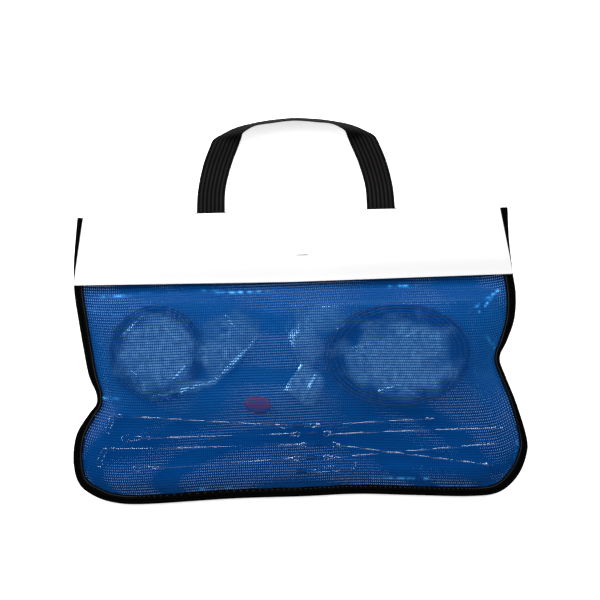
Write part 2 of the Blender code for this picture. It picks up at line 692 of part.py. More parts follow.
def make_swivel(number, middle):
    barrel_half = BARREL_LENGTH / 2
    bore = RING_WIRE / 2 + 0.35 * MM
    inner = BARREL_RADIUS - BARREL_WALL
    profile = [
        (bore, barrel_half), (BARREL_RADIUS * 0.62, barrel_half),
        (BARREL_RADIUS, barrel_half * 0.55), (BARREL_RADIUS, -barrel_half * 0.55),
        (BARREL_RADIUS * 0.62, -barrel_half), (bore, -barrel_half),
        (bore, -barrel_half + 0.8 * MM), (inner, -barrel_half * 0.5), (inner, barrel_half * 0.5),
        (bore, barrel_half - 0.8 * MM),
    ]
    barrel = turned("swivel_%d_barrel" % number, profile, 10, BLACK_BRASS)
    barrel.rotation_euler = (0, math.pi / 2, 0)
    barrel.location = (middle[0] * MM, middle[1] * MM, WIRE_Z)
    reach = SWIVEL_SPAN / 2 - LINK
    for side, sign in (("left", -1), ("right", 1)):
        points, scales = swivel_eye_points(sign * reach, sign * 1.2 * MM)
        run = [(middle[0] * MM + x, middle[1] * MM, WIRE_Z + z) for x, z in points]
        tube("swivel_%d_eye_%s" % (number, side), run, RING_WIRE, BLACK_BRASS, scales=scales)


def make_swivels():
    for index in range(len(RIGS)):
        make_swivel(index + 1, rig_frame(index)[2])
    make_swivel(len(RIGS) + 1, DROP_SWIVEL)


def snap_points(length, half):
    """A hairpin of wire: round its narrow end, out along both sides, and round the wide
    end to a hook that stops just short of the first side."""
    narrow = 1.55 * MM
    wide = half
    run = [(length - 5.5 * MM, wide * 0.35, 0), (length * 0.55, wide * 0.7, 0),
           (length * 0.3, narrow * 1.2, 0)]
    for step in range(5):
        angle = math.pi / 2 + math.pi * step / 4
        run.append((narrow * math.cos(angle), narrow * math.sin(angle), 0))
    run += [(length * 0.3, -narrow * 1.3, 0), (length * 0.6, -wide, 0), (length - wide, -wide, 0)]
    for step in range(1, 5):
        angle = -math.pi / 2 + math.pi * step / 4
        run.append((length - wide + wide * math.cos(angle), wide * math.sin(angle), 0))
    run.append((length - wide - 3.2 * MM, wide, 0))
    return run


def make_snap(name, place, heading, length, half):
    turn = math.radians(heading)
    run = []
    for x, y, z in snap_points(length, half):
        run.append((place[0] * MM + x * math.cos(turn) - y * math.sin(turn),
                    place[1] * MM + x * math.sin(turn) + y * math.cos(turn), WIRE_Z + z))
    tube(name, run, SNAP_WIRE, STEEL)


def make_snaps():
    for index, heading in enumerate(SNAP_HEADINGS):
        eye, middle = Vector(RIGS[index][1]), Vector(RIGS[index][0])
        pivot = eye + (eye - middle).normalized() * EYE_RADIUS / MM
        make_snap("snap_%d" % (index + 1), pivot, heading, SNAP_LENGTH, SNAP_HALF)
    ring = DROP_SWIVEL[0] + (SWIVEL_SPAN / 2 - LINK + RING_RADIUS) / MM
    make_snap("long_snap", (ring, DROP_SWIVEL[1]), 8, LONG_SNAP_LENGTH, LONG_SNAP_HALF)


def make_float():
    work = bmesh.new()
    bmesh.ops.create_uvsphere(work, u_segments=14, v_segments=8, radius=0.5)
    for vert in work.verts:
        vert.co.x *= FLOAT_SIZE[0] * MM
        vert.co.y *= FLOAT_SIZE[1] * MM
        vert.co.z *= FLOAT_SIZE[2] * MM
    mesh = bpy.data.meshes.new("red_float")
    work.to_mesh(mesh)
    work.free()
    item = finish_object(bpy.data.objects.new("red_float", mesh), FLOAT_RED)
    item.location = (FLOAT_MIDDLE[0] * MM, FLOAT_MIDDLE[1] * MM,
                     PANEL_THICK + GAP + FLOAT_SIZE[2] * MM / 2)
    item.rotation_euler = (0, 0, math.radians(-8))


make_bag()
make_card()
make_handle()
make_coils()
make_polybag("left_polybag", LEFT_POLYBAG, True, LEFT_COIL_MIDDLE, LEFT_COIL_HALF,
             LEFT_COIL_TOP)
make_polybag("right_polybag", RIGHT_POLYBAG, False, RIGHT_COIL_MIDDLE, RIGHT_COIL_HALF,
             RIGHT_COIL_TOP)
make_booms()
make_swivels()
make_snaps()
make_float()
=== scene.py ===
"""A flat mesh carry bag with a white header card and a webbing handle, packed with wire booms,
barrel swivels, snaps and coiled lines, seen from straight above on a white floor.
Metres, +Z up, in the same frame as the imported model."""
import json
import math

import bpy
import numpy as np
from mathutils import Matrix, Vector, noise
from mathutils.bvhtree import BVHTree


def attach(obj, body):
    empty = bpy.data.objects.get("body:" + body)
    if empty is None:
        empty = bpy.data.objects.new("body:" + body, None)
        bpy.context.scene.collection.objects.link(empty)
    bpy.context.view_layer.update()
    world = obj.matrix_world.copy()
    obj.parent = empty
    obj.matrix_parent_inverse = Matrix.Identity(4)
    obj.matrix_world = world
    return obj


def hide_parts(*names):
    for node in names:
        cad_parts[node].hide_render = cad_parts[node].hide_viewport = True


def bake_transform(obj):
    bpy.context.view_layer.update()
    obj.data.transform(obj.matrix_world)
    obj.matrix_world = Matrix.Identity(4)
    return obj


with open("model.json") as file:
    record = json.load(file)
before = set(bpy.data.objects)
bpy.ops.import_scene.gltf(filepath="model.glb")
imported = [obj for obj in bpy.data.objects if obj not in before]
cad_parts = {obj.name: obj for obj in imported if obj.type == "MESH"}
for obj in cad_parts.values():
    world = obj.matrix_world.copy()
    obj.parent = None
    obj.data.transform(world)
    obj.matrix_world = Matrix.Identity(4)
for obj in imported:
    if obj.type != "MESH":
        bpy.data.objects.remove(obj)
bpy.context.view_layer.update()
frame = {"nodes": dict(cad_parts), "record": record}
MM = 0.001
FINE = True


# ---------------------------------------------------------------- camera, floor and light

# The photo is square and shows 540 mm, from straight above and turned a little.
PICTURE_WIDTH = 0.540
PICTURE_CENTRE = (0.0013, 0.0540)
PICTURE_TURN = math.radians(-1.4)
CAMERA_HEIGHT = 2.6
SENSOR_WIDTH = 36
BAG_MIDDLE = (0, 0.06, 0)
BAG_FRONT = (0, 0.02, 0)
WORLD_LIGHT = 0.18                      # on the bag; the camera itself sees full white
FLOOR_SIZE = 8
FLOOR_DROP = 0.3 * MM
FLOOR_GLOW = 0.6                        # the photo's floor is lit through and has no shadows

bpy.context.scene.view_settings.view_transform = "Standard"


def place_camera():
    bpy.ops.object.camera_add(location=(*PICTURE_CENTRE, CAMERA_HEIGHT), rotation=(0, 0, PICTURE_TURN))
    camera = bpy.context.object
    camera.name = "photo_camera"
    camera.data.sensor_width = SENSOR_WIDTH
    camera.data.lens = SENSOR_WIDTH * CAMERA_HEIGHT / PICTURE_WIDTH
    camera.data.clip_end = 20
    bpy.context.scene.camera = camera


def place_lamp(name, place, aim, size, watts):
    bpy.ops.object.light_add(type="AREA", location=place)
    lamp = bpy.context.object
    lamp.name = name
    lamp.data.shape = "RECTANGLE"
    lamp.data.size, lamp.data.size_y = size
    lamp.data.energy = watts
    heading = Vector(aim) - Vector(place)
    lamp.rotation_euler = heading.to_track_quat("-Z", "Y").to_euler()


def light_the_table():
    place_lamp("left_window", (-1.35, 0.65, 0.95), BAG_MIDDLE, (0.9, 1.2), 30)
    place_lamp("right_window", (1.35, 0.65, 0.95), BAG_MIDDLE, (0.9, 1.2), 20)
    place_lamp("far_window", (-0.1, 0.86, 0.60), BAG_MIDDLE, (2.0, 0.5), 36)
    place_lamp("near_window", (0.0, -1.5, 1.0), BAG_FRONT, (1.8, 0.9), 8)
    world = bpy.data.worlds.new("white_room")
    bpy.context.scene.world = world
    world.use_nodes = True
    nodes, links = world.node_tree.nodes, world.node_tree.links
    background = nodes["Background"]
    path = nodes.new("ShaderNodeLightPath")
    strength = nodes.new("ShaderNodeMath")
    strength.operation = "MULTIPLY_ADD"
    strength.inputs[1].default_value = 1 - WORLD_LIGHT
    strength.inputs[2].default_value = WORLD_LIGHT
    links.new(path.outputs["Is Camera Ray"], strength.inputs[0])
    links.new(strength.outputs[0], background.inputs["Strength"])
    background.inputs["Color"].default_value = (1, 1, 1, 1)


def lay_floor():
    bpy.ops.object.select_all(action="DESELECT")
    bpy.ops.mesh.primitive_plane_add(size=FLOOR_SIZE, location=(0, 0, -FLOOR_DROP))
    floor = bpy.context.object
    floor.name = "white_floor"
    paint = bpy.data.materials.new("white_floor_paint")
    paint.use_nodes = True
    shader = paint.node_tree.nodes["Principled BSDF"]
    shader.inputs["Base Color"].default_value = (0.93, 0.93, 0.93, 1)
    shader.inputs["Roughness"].default_value = 0.9
    shader.inputs["Specular IOR Level"].default_value = 0.1
    shader.inputs["Emission Color"].default_value = (1, 1, 1, 1)
    shader.inputs["Emission Strength"].default_value = FLOOR_GLOW
    floor.data.materials.append(paint)


place_camera()
light_the_table()
lay_floor()


# ---------------------------------------------------------------- the routes of both coils

LOOPS_A_LAYER = 4
SPIRAL_LOOPS = 3.5                      # the last half loop climbs to the next layer
POINTS_A_LOOP = 24


def coil_route(middle, half, pitch, layers, start, base, from_inside):
    """One line that spirals in and out at a steady rate, and climbs a layer in the half loop
    where the spiral reverses. The last layer has no climb."""
    route = []
    for step in range(layers * LOOPS_A_LAYER * POINTS_A_LOOP + 1 - POINTS_A_LOOP // 2):
        turns = step / POINTS_A_LOOP
        layer, within = divmod(turns, LOOPS_A_LAYER)
        reach = min(within, SPIRAL_LOOPS)
        climb = max(within - SPIRAL_LOOPS, 0) / (LOOPS_A_LAYER - SPIRAL_LOOPS)
        goes_in = (int(layer) % 2 == 0) != from_inside
        shift = reach if goes_in else SPIRAL_LOOPS - reach
        angle = 2 * math.pi * (turns + start)
        route.append((middle[0] + (half[0] - shift * pitch[0]) * math.cos(angle),
                      middle[1] + (half[1] - shift * pitch[1]) * math.sin(angle),
                      base + (layer + climb) * pitch[2]))
    return route


def smooth_run(points, steps):
    """Points along a smooth curve through every point of an open run."""
    run, last = [], len(points) - 1
    for i in range(last):
        a, b, c, d = points[max(i - 1, 0)], points[i], points[i + 1], points[min(i + 2, last)]
        for k in range(steps):
            t = k / steps
            run.append(tuple(0.5 * (2 * q + (r - p) * t + (2 * p - 5 * q + 4 * r - s) * t * t
                                    + (3 * q - p - 3 * r + s) * t ** 3)
                             for p, q, r, s in zip(a, b, c, d)))
    run.append(tuple(points[-1]))
    return run


LINE_THICK = 1.5 * MM
CORD_THICK = 1.8 * MM
COIL_FLOOR = 1.65 * MM
LEFT_ROUTE = coil_route((-0.128, 0.0105), (0.0430, 0.0435), (0.0026, 0.0026, 0.00195), 2, 0.4,
                        COIL_FLOOR + LINE_THICK / 2, False)
RIGHT_ROUTE = coil_route((0.0885, 0.003), (0.066, 0.046), (0.0046, 0.00235, 0.00225), 4, 0.75,
                         COIL_FLOOR + CORD_THICK / 2, True)
# The loose end: places inside the right coil, and how far it has dropped from the coil's end
TAIL_ROUTE = [
    (0.0820, 0.0392, 0.0), (0.0750, 0.0360, -0.0006), (0.0675, 0.0320, -0.0022),
    (0.0605, 0.0275, -0.0042), (0.0635, 0.0220, -0.0053), (0.0720, 0.0190, -0.0056),
    (0.0735, 0.0150, -0.0056), (0.0660, 0.0155, -0.0056), (0.0585, 0.0160, -0.0056),
    (0.0575, 0.0110, -0.0056), (0.0645, 0.0080, -0.0056), (0.0620, 0.0035, -0.0056),
    (0.0530, 0.0025, -0.0056), (0.0460, 0.0010, -0.0056),
]
TAIL_STEPS = 3


def right_cord_route():
    """The right coil and its loose end as one run."""
    end = RIGHT_ROUTE[-1]
    tail = [(x, y, end[2] + drop) for x, y, drop in TAIL_ROUTE]
    return RIGHT_ROUTE[:-1] + smooth_run([end] + tail, TAIL_STEPS)


# ---------------------------------------------------------------- shared materials

def new_material(name):
    """A material with its nodes, its links and its Principled shader."""
    finish = bpy.data.materials.new(name)
    finish.use_nodes = True
    tree = finish.node_tree
    return finish, tree.nodes, tree.links, tree.nodes["Principled BSDF"]


def maths(nodes, links, operation, first, second=0.0, third=0.0):
    """A maths node fed by numbers or by other nodes' outputs."""
    node = nodes.new("ShaderNodeMath")
    node.operation = operation
    for socket, value in zip(node.inputs, (first, second, third)):
        if isinstance(value, (int, float)):
            socket.default_value = value
        else:
            links.new(value, socket)
    return node.outputs[0]


def new_group(name, inputs, outputs):
    """A shader node group with plain named inputs and outputs."""
    group = bpy.data.node_groups.new(name, "ShaderNodeTree")
    for label, kind, value in inputs:
        socket = group.interface.new_socket(label, in_out="INPUT", socket_type=kind)
        if value is not None:
            socket.default_value = value
    for label, kind in outputs:
        group.interface.new_socket(label, in_out="OUTPUT", socket_type=kind)
    enter, leave = group.nodes.new("NodeGroupInput"), group.nodes.new("NodeGroupOutput")
    return group, group.nodes, group.links, enter.outputs, leave.inputs


def make_mottle_group():
    """Slow and fine unevenness of a surface: its colour, and a height for bump."""
    group, nodes, links, take, give = new_group(
        "surface_mottle",
        [("Color", "NodeSocketColor", (0.5, 0.5, 0.5, 1)), ("Amount", "NodeSocketFloat", 0.2),
         ("Scale", "NodeSocketFloat", 40.0)],
        [("Color", "NodeSocketColor"), ("Height", "NodeSocketFloat")])
    where = nodes.new("ShaderNodeTexCoord")
    slow, fine = nodes.new("ShaderNodeTexNoise"), nodes.new("ShaderNodeTexNoise")
    links.new(where.outputs["Object"], slow.inputs["Vector"])
    links.new(where.outputs["Object"], fine.inputs["Vector"])
    links.new(take["Scale"], slow.inputs["Scale"])
    links.new(maths(nodes, links, "MULTIPLY", take["Scale"], 14.0), fine.inputs["Scale"])
    both = maths(nodes, links, "MULTIPLY_ADD", fine.outputs["Fac"], 0.4,
                 maths(nodes, links, "MULTIPLY", slow.outputs["Fac"], 0.6))
    level = maths(nodes, links, "MULTIPLY_ADD", maths(nodes, links, "SUBTRACT", both, 0.5),
                  maths(nodes, links, "MULTIPLY", take["Amount"], 4.0), 1.0)
    tone = nodes.new("ShaderNodeHueSaturation")
    links.new(take["Color"], tone.inputs["Color"])
    links.new(level, tone.inputs["Value"])
    links.new(tone.outputs["Color"], give["Color"])
    links.new(both, give["Height"])
    return group


def make_rib_group():
    """Woven ribs along U of the piece's own map, crossed by fine picks: a height and a mask."""
    group, nodes, links, take, give = new_group(
        "woven_ribs",
        [("Ribs", "NodeSocketFloat", 10.0), ("Picks", "NodeSocketFloat", 100.0)],
        [("Height", "NodeSocketFloat"), ("Groove", "NodeSocketFloat")])
    where = nodes.new("ShaderNodeUVMap")
    split = nodes.new("ShaderNodeSeparateXYZ")
    links.new(where.outputs["UV"], split.inputs["Vector"])
    waves = []
    for axis, count in (("Y", "Ribs"), ("X", "Picks")):
        turns = maths(nodes, links, "MULTIPLY", split.outputs[axis], take[count])
        angle = maths(nodes, links, "MULTIPLY", turns, 2 * math.pi)
        waves.append(maths(nodes, links, "MULTIPLY_ADD", maths(nodes, links, "COSINE", angle), 0.5, 0.5))
    rib = maths(nodes, links, "POWER", waves[0], 1.2)
    links.new(maths(nodes, links, "MULTIPLY_ADD", waves[1], 0.25, rib), give["Height"])
    links.new(maths(nodes, links, "SUBTRACT", 1.0, rib), give["Groove"])
    return group


MOTTLE = make_mottle_group()
RIBS = make_rib_group()


def place_group(nodes, group, **values):
    node = nodes.new("ShaderNodeGroup")
    node.node_tree = group
    for label, value in values.items():
        node.inputs[label].default_value = value
    return node


def bump_into(nodes, links, height, shader, strength, distance):
    bump = nodes.new("ShaderNodeBump")
    bump.inputs["Strength"].default_value = strength
    bump.inputs["Distance"].default_value = distance
    links.new(height, bump.inputs["Height"])
    links.new(bump.outputs["Normal"], shader.inputs["Normal"])


def plain_finish(name, colour, roughness, metallic=0.0, amount=0.15, scale=60.0, bump=0.1):
    """A solid finish with a little unevenness in its colour and surface."""
    finish, nodes, links, shader = new_material(name)
    mottle = place_group(nodes, MOTTLE, Color=(*colour, 1), Amount=amount, Scale=scale)
    links.new(mottle.outputs["Color"], shader.inputs["Base Color"])
    rough = maths(nodes, links, "MULTIPLY_ADD",
                  maths(nodes, links, "SUBTRACT", mottle.outputs["Height"], 0.5), amount, roughness)
    links.new(rough, shader.inputs["Roughness"])
    shader.inputs["Metallic"].default_value = metallic
    bump_into(nodes, links, mottle.outputs["Height"], shader, bump, 0.0002)
    return finish


def coated_mesh_finish():
    """Glossy blue coated yarn, made paler by the piece's own attribute: painted highlights on the upper
    panel, painted light and painted shade on the lower one.
    """
    finish, nodes, links, shader = new_material("blue_coated_yarn")
    mottle = place_group(nodes, MOTTLE, Color=(0.0001, 0.025, 0.117, 1), Amount=0.12, Scale=25.0)
    painted_light_node = nodes.new("ShaderNodeAttribute")
    painted_light_node.attribute_name = "painted_light"
    pale = nodes.new("ShaderNodeMix")
    pale.data_type = "RGBA"
    # the colour that the painted highlights and painted light mix in
    pale.inputs["B"].default_value = (0.05, 0.34, 0.84, 1)
    links.new(painted_light_node.outputs["Fac"], pale.inputs["Factor"])
    links.new(mottle.outputs["Color"], pale.inputs["A"])
    links.new(pale.outputs["Result"], shader.inputs["Base Color"])
    shader.inputs["Roughness"].default_value = 0.15
    shader.inputs["Specular IOR Level"].default_value = 0.012
    bump_into(nodes, links, mottle.outputs["Height"], shader, 0.15, 0.0001)
    return finish


GROOVE_SHADE = 0.15                     # painted shade: the share of the tape's colour down in its grooves


def woven_finish(name, colour, ribs, picks, depth):
    """Black woven tape: ribs run along the piece, and its grooves are darkened with painted shade."""
    finish, nodes, links, shader = new_material(name)
    weave = place_group(nodes, RIBS, Ribs=ribs, Picks=picks)
    mottle = place_group(nodes, MOTTLE, Color=(*colour, 1), Amount=0.25, Scale=50.0)
    shade = nodes.new("ShaderNodeMix")
    shade.data_type = "RGBA"
    # painted shade colour in the grooves
    shade.inputs["B"].default_value = (*(GROOVE_SHADE * c for c in colour), 1)
    links.new(mottle.outputs["Color"], shade.inputs["A"])
    links.new(weave.outputs["Groove"], shade.inputs["Factor"])
    links.new(shade.outputs["Result"], shader.inputs["Base Color"])
    shader.inputs["Roughness"].default_value = 0.85
    shader.inputs["Specular IOR Level"].default_value = 0.01
    bump_into(nodes, links, weave.outputs["Height"], shader, 0.6, depth)
    return finish


def film_finish():
    """Thin clear film: it mirrors a little light, more where it is seen at a slant, and is cloudy in
    patches, by the piece's own attribute."""
    finish, nodes, links, shader = new_material("clear_bag_film")
    mottle = place_group(nodes, MOTTLE, Color=(0.26, 0.62, 1.0, 1), Amount=0.1, Scale=30.0)
    links.new(mottle.outputs["Color"], shader.inputs["Base Color"])
    shader.inputs["Roughness"].default_value = 0.2
    shader.inputs["Metallic"].default_value = 0.5
    slant = nodes.new("ShaderNodeLayerWeight")
    slant.inputs["Blend"].default_value = 0.3
    cloud = nodes.new("ShaderNodeAttribute")
    cloud.attribute_name = "cloudiness"
    clear = maths(nodes, links, "MULTIPLY_ADD", slant.outputs["Facing"], 0.3, 0.02)
    links.new(maths(nodes, links, "MULTIPLY_ADD", cloud.outputs["Fac"], 0.84, clear),
              shader.inputs["Alpha"])
    bump_into(nodes, links, mottle.outputs["Height"], shader, 0.4, 0.0005)
    return finish


RIB_COUNT = 7                           # ribs across the handle's webbing, and across the tape

YARN = coated_mesh_finish()
TAPE = woven_finish("black_edge_tape", (0.0010, 0.0009, 0.0010), RIB_COUNT, 900, 0.0002)
WEBBING = woven_finish("black_ribbed_webbing", (0.0070, 0.0066, 0.0069), RIB_COUNT, 420, 0.0003)
THREAD = plain_finish("black_sewing_thread", (0.003, 0.003, 0.003), 0.8)
CARD = plain_finish("white_coated_card", (0.42, 0.42, 0.425), 0.45, amount=0.01, scale=12.0, bump=0.05)
FILM = film_finish()
LINE = plain_finish("grey_nylon_line", (0.002, 0.010, 0.035), 0.3, amount=0.2, scale=90.0)
CORD = plain_finish("dark_braided_cord", (0.001, 0.003, 0.010), 0.55, amount=0.3, scale=400.0, bump=0.5)
WIRE = plain_finish("bright_drawn_wire", (0.48, 0.52, 0.60), 0.13, metallic=1.0, amount=0.2, scale=120.0)
SWIVEL_BLACK = plain_finish("blackened_swivel", (0.02, 0.02, 0.022), 0.3, metallic=1.0, amount=0.3)
FLOAT_RED = plain_finish("red_hard_foam", (0.14, 0.002, 0.008), 0.7, amount=0.25, scale=200.0, bump=0.4)


# ---------------------------------------------------------------- working by hand

SMOOTH_ANGLE = math.radians(50)


def select_only(item):
    bpy.ops.object.select_all(action="DESELECT")
    item.select_set(True)
    bpy.context.view_layer.objects.active = item


def settle(item):
    """Writes the object's place, turn and size into its mesh."""
    select_only(item)
    bpy.ops.object.transform_apply(location=True, rotation=True, scale=True)


def apply_modifiers(item):
    select_only(item)
    for modifier in list(item.modifiers):
        bpy.ops.object.modifier_apply(modifier=modifier.name)


def flat_grid(name, columns, rows, size):
    """A flat grid of a cloth's width and height, with its map, about the origin."""
    bpy.ops.object.select_all(action="DESELECT")
    bpy.ops.mesh.primitive_grid_add(x_subdivisions=columns, y_subdivisions=rows, size=1)
    grid = bpy.context.object
    grid.name = grid.data.name = name
    grid.scale = (*size, 1)
    settle(grid)
    return grid


def vertex_places(item):
    places = np.empty(len(item.data.vertices) * 3)
    item.data.vertices.foreach_get("co", places)
    return places.reshape(-1, 3)


def move_vertices(item, places):
    item.data.vertices.foreach_set("co", np.ascontiguousarray(places).ravel())
    item.data.update()


def shape(item, size, place):
    """Moves every vertex of a flat piece to place(u, v), arrays of shares across and up."""
    flat = vertex_places(item)
    move_vertices(item, place(flat[:, 0] / size[0] + 0.5, flat[:, 1] / size[1] + 0.5))


def paint_by_vertex(item, attribute, values):
    """Gives the piece an attribute that its material reads."""
    paint = item.data.attributes.new(attribute, "FLOAT", "POINT")
    paint.data.foreach_set("value", values)


def finish_piece(item, material, body="bag"):
    """Material and shading, and the body that carries the piece, if it is only one."""
    item.data.materials.clear()
    item.data.materials.append(material)
    select_only(item)
    bpy.ops.object.shade_smooth_by_angle(angle=SMOOTH_ANGLE)
    if body:
        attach(item, body)


def solidify(item, thickness, even=True):
    """Gives a sheet its thickness, half to each side."""
    wall = item.modifiers.new("wall", "SOLIDIFY")
    wall.thickness = thickness
    wall.offset = 0
    wall.use_even_offset = even
    apply_modifiers(item)


# ---------------------------------------------------------------- the bag's outline

# Places along the bag's edge, anticlockwise from the left of the mouth, and the tape's width
# there, mm
LEFT_EDGE = [
    (-197, 133, 8.5), (-201, 95, 8.5), (-201.5, 67, 8.5), (-198.5, 42, 8.5), (-194, 12, 8.0),
    (-190, -10, 7.5), (-184, -25, 5.5), (-184, -35, 5.0), (-191, -44, 6.0), (-202.5, -62, 8.0),
    (-206, -85, 8.5),
]
BOTTOM_EDGE = [
    (-202, -105, 8.5), (-190, -116.5, 9.0), (-170, -124, 8.5), (-140, -126, 8.5),
    (-64, -123, 8.5), (0, -122.5, 8.5), (49, -121.5, 8.5), (101, -124, 8.5), (150, -126, 8.5),
    (176, -123, 8.5), (193, -109, 9.0),
]
RIGHT_EDGE = [
    (201.5, -90, 8.0), (202, -74, 7.0), (193, -42, 5.2), (184, -18, 5.0), (179.5, -2, 5.0),
    (186.5, 13, 6.5), (193.5, 32, 8.0), (195.5, 54, 8.5), (193, 76, 8.5), (190.5, 105, 8.5),
    (190, 133, 8.5),
]
EDGE_STEPS = 8
OUTLINE = np.array(smooth_run(LEFT_EDGE + BOTTOM_EDGE + RIGHT_EDGE, EDGE_STEPS)) * MM
HEADINGS = np.gradient(OUTLINE[:, :2], axis=0)
HEADINGS /= np.linalg.norm(HEADINGS, axis=1)[:, None]
INWARD = np.stack([-HEADINGS[:, 1], HEADINGS[:, 0]], axis=1)
LEFT_STOP = (len(LEFT_EDGE) + 1) * EDGE_STEPS
RIGHT_START = (len(LEFT_EDGE) + len(BOTTOM_EDGE) - 1) * EDGE_STEPS
PANEL_INSET = 3.0 * MM                  # the panels end inside the folded tape
PANEL_LINE = OUTLINE[:, :2] + INWARD * PANEL_INSET
PANEL_LEFT = PANEL_LINE[:LEFT_STOP + 1][::-1]
PANEL_BOTTOM = PANEL_LINE[LEFT_STOP:RIGHT_START + 1]
PANEL_RIGHT = PANEL_LINE[RIGHT_START:]


def on_run(run, axis, shares):
    """Points of a run at shares of its reach along an axis."""
    levels = run[0, axis] + (run[-1, axis] - run[0, axis]) * shares
    order = np.maximum.accumulate(run[:, axis])
    other = np.interp(levels, order, run[:, 1 - axis])
    return np.stack([levels, other] if axis == 0 else [other, levels], axis=1)


def panel_xy(u, v):
    """A patch between the panel's left, bottom and right edges and its straight mouth."""
    u, v = np.clip(u, 0, 1), np.clip(v, 0, 1)
    left, right = on_run(PANEL_LEFT, 1, v), on_run(PANEL_RIGHT, 1, v)
    low = on_run(PANEL_BOTTOM, 0, u)
    u, v = u[:, None], v[:, None]
    top_left, top_right = PANEL_LEFT[-1], PANEL_RIGHT[-1]
    top = top_left + (top_right - top_left) * u
    corners = ((PANEL_BOTTOM[0] * (1 - u) + PANEL_BOTTOM[-1] * u) * (1 - v)
               + (top_left * (1 - u) + top_right * u) * v)
    return left * (1 - u) + right * u + low * (1 - v) + top * v - corners


# ---------------------------------------------------------------- how the cloth lies

FORM_COLUMNS, FORM_ROWS = 150, 96
PROBE_HEIGHT = 0.1                      # well clear of the bag, above and below
DOWN, UP = Vector((0, 0, -1)), Vector((0, 0, 1))


def solid_heights(node, spots, from_above):
    """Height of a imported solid's outer face at each spot; a spot beside it takes those of its
    neighbours in the list."""
    mesh = frame["nodes"][node].data
    tree = BVHTree.FromPolygons([v.co[:] for v in mesh.vertices],
                                [p.vertices[:] for p in mesh.polygons])
    start, aim = (PROBE_HEIGHT, DOWN) if from_above else (-PROBE_HEIGHT, UP)
    heights = []
    for x, y in spots:
        hit = tree.ray_cast(Vector((x, y, start)), aim)[0]
        heights.append(hit.z if hit else math.nan)
    heights = np.array(heights)
    found = ~np.isnan(heights)
    return np.interp(np.arange(len(heights)), np.flatnonzero(found), heights[found])


def soften(form, times):
    """Evens out a grid of heights in place, apart from its rim."""
    for _ in range(times):
        inner = (form[:-2, 1:-1] + form[2:, 1:-1] + form[1:-1, :-2] + form[1:-1, 2:]) / 4
        form[1:-1, 1:-1] = 0.5 * form[1:-1, 1:-1] + 0.5 * inner
    return form


CREASE_START = 4 * MM                   # how far before its first point a crease begins


def crease(x, y, start, end, width, rise):
    """A ridge between two points that fades at its far end, or a furrow if rise is below 0."""
    sx, sy, ex, ey = start[0] * MM, start[1] * MM, end[0] * MM, end[1] * MM
    long = math.hypot(ex - sx, ey - sy)
    along = ((x - sx) * (ex - sx) + (y - sy) * (ey - sy)) / long
    aside = ((x - sx) * (ey - sy) - (y - sy) * (ex - sx)) / long
    fade = (1 - np.clip(along / long, 0, 1)) * np.clip(1 + along / CREASE_START, 0, 1)
    return rise * MM * fade * np.exp(-(aside / (width * MM)) ** 2)


# Ridges and furrows of the upper panel: from, to, width and rise, mm
UPPER_CREASES = [
    ((-181, -30), (-128, -36), 2.6, 1.3), ((-180, -33), (-140, -58), 2.2, 1.0),
    ((-181, -27), (-145, -6), 2.2, 1.0), ((-181, -36), (-160, -80), 2.6, -1.0),
    ((176, -2), (130, -10), 2.4, 1.2), ((177, 2), (150, 30), 2.0, 1.0),
    ((177, -6), (142, -40), 2.4, -1.0), ((181, -12), (160, -60), 2.4, 1.0),
    ((-116, -118), (-96, -92), 2.6, 1.2), ((-84, -119), (-70, -90), 2.6, 1.0),
    ((60, -118), (76, -98), 2.6, 1.1), ((112, -120), (100, -96), 2.6, 1.0),
    ((-60, 60), (-20, 22), 3.4, 1.2), ((-36, 58), (2, -30), 3.0, -1.0),
    ((4, 52), (-18, -18), 3.2, 1.3), ((26, 62), (44, 30), 2.6, 1.0),
    ((-150, 62), (-118, 48), 3.0, 1.0), ((140, 66), (110, 50), 3.0, 1.0),
    ((-84, -107), (-112, -114), 1.7, 1.3), ((-86, -107), (-56, -115), 1.7, 1.3),
    ((62, -107), (112, -110), 1.6, 1.2), ((112, -108), (62, -107), 1.6, 0.8),
    ((178, 57), (148, 38), 1.8, 1.1), ((176, 52), (150, 24), 1.8, 0.8),
    ((-170, 58), (-60, 61), 1.4, 0.8), ((60, 62), (-10, 58), 1.4, 0.8),
    ((20, 61), (104, 60), 1.3, 0.8),
]


def ramp(value, low, high):
    """0 below low, 1 above high, and smooth between."""
    t = np.clip((value - low) / (high - low), 0, 1)
    return t * t * (3 - 2 * t)


# Painted highlights on the upper panel: lines of paler yarn where it glints, from, to, width in mm and
# strength
PAINTED_HIGHLIGHTS = [
    ((-106, -119), (-79, -109), 1.0, 1.0), ((-52, -118), (-79, -109), 1.0, 1.0),
    ((62, -108), (112, -109), 0.9, 0.9), ((112, -109), (62, -108), 0.9, 0.7),
    ((178, 57), (150, 38), 0.9, 1.0), ((172, 50), (156, 34), 0.8, 0.7),
    ((-176, 61), (-130, 64), 1.0, 0.8), ((-60, 62), (-90, 65), 1.0, 0.9),
    ((-60, 62), (-10, 64), 0.9, 0.9), ((84, 64), (112, 65), 1.0, 0.8),
    ((-180, -29), (-160, -32), 1.0, 0.9),
    ((-190, 50), (-150, 42), 0.9, 0.5), ((177, 4), (166, 20), 1.0, 0.8),
    ((196, -60), (190, -100), 1.0, 0.8), ((-198, -70), (-199, -100), 1.0, 0.7),
]


def painted_highlights(spots):
    """How pale the upper panel's yarns are painted at each spot, as painted highlights in lines broken
    up by noise.
    """
    total = np.zeros(len(spots))
    for start, end, width, strength in PAINTED_HIGHLIGHTS:
        total += crease(spots[:, 0], spots[:, 1], start, end, width, strength) / MM
    broken = np.array([0.4 + 2.0 * noise.noise(Vector((x * 240, y * 320, 1.0))) for x, y in spots])
    return np.clip(total * broken, 0, 1)


